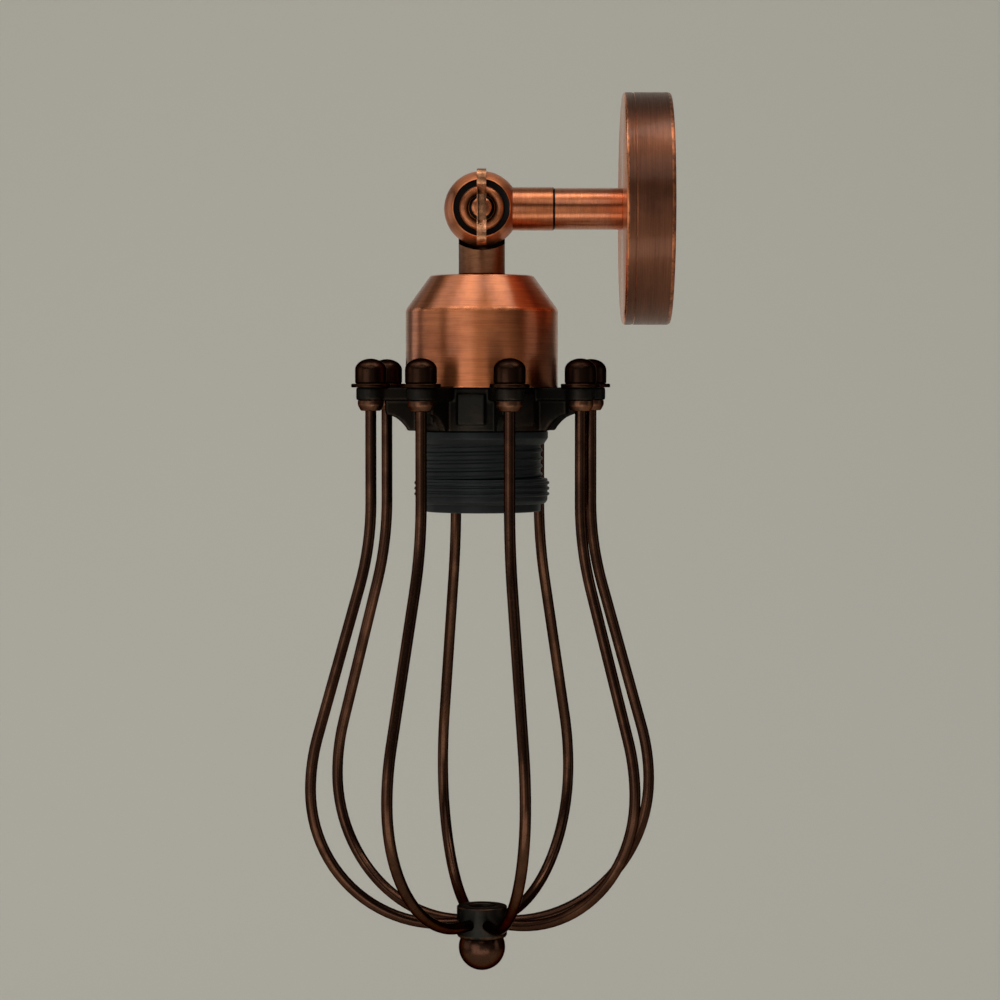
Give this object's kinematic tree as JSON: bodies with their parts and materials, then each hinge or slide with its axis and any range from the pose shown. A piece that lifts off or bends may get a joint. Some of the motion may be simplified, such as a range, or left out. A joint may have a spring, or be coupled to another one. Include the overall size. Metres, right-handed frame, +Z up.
{
  "type": "cage wall light",
  "caption": "Wall light with a round rose, a short arm, a swivel knuckle and a pear-shaped wire cage round a screw lamp holder.",
  "frame": {"origin": "centre of the rose on the wall plane", "axes": "+Z up, +X into the wall; the arm reaches out along -X and the head hangs down"},
  "size_m": [0.1179, 0.1138, 0.2855],
  "materials": {
    "copper": "brushed antique copper",
    "dark_copper": "aged copper",
    "bronze": "dark bronze, rubbed at the edges",
    "steel": "zinc plated",
    "brass": "plain",
    "black_plastic": "satin",
    "white_plastic": "satin",
    "ceramic": "glazed",
    "fibre": "matt"
  },
  "bodies": {
    "wall_side": {"wall_bracket": "steel", "wall_rose": "copper", "rose_screws": "dark_copper", "earth_screw": "brass", "terminal_block": "white_plastic", "terminal_screws": "steel", "arm_nipple": "brass", "arm_washer": "steel", "arm_locknut": "brass", "arm_tube": "dark_copper", "knuckle_arm_half": "copper", "friction_washer": "fibre"},
    "lamp_head": {"knuckle_head_half": "copper", "knuckle_nut": "steel", "head_nipple": "brass", "head_washer": "steel", "head_locknut": "brass", "holder_cup": "copper", "holder_dome": "black_plastic", "ceramic_insert": "ceramic", "contact_screws": "brass", "screw_shell": "brass", "holder_skirt": "black_plastic", "cage_spider": "bronze", "cap_nuts": "bronze", "under_nuts": "bronze", "cage_rib_1": "bronze", "cage_rib_2": "bronze", "cage_rib_3": "bronze", "cage_rib_4": "bronze", "cage_rib_5": "bronze", "cage_rib_6": "bronze", "cage_rib_7": "bronze", "cage_rib_8": "bronze", "cage_hub": "bronze", "hub_nut": "steel", "finial": "bronze"},
    "lock_washer": {"pressure_washer": "dark_copper"},
    "wing": {"wing_screw": "dark_copper"},
    "upper_shade_ring": {"upper_ring": "black_plastic"},
    "lower_shade_ring": {"lower_ring": "black_plastic"},
    "lamp_contact": {"centre_contact": "brass"}
  },
  "joints": [
    {"name": "head_swivel", "type": "hinge", "parent": "wall_side", "child": "lamp_head", "pos_m": [-0.061, 0, 0], "axis": [0, 1, 0], "range_deg": [0, 180]},
    {"name": "lock_travel", "type": "slide", "parent": "lamp_head", "child": "lock_washer", "axis": [0, -1, 0], "range_m": [0, 0.0008]},
    {"name": "wing_turn", "type": "hinge", "parent": "lock_washer", "child": "wing", "pos_m": [-0.061, 0, 0], "axis": [0, -1, 0], "range_deg": [0, 360]},
    {"name": "upper_ring_turn", "type": "hinge", "parent": "lamp_head", "child": "upper_shade_ring", "pos_m": [-0.061, 0, -0.074], "axis": [0, 0, -1], "range_deg": [0, 180]},
    {"name": "lower_ring_turn", "type": "hinge", "parent": "lamp_head", "child": "lower_shade_ring", "pos_m": [-0.061, 0, -0.091], "axis": [0, 0, -1], "range_deg": [0, 180]},
    {"name": "contact_press", "type": "slide", "parent": "lamp_head", "child": "lamp_contact", "axis": [0, 0, 1], "range_m": [0, 0.0012], "stiffness_N_per_m": 1500}
  ],
  "couplings": [
    {"joint": "lock_travel", "follows": "wing_turn", "m_per_rad": 0.00012732}
  ]
}
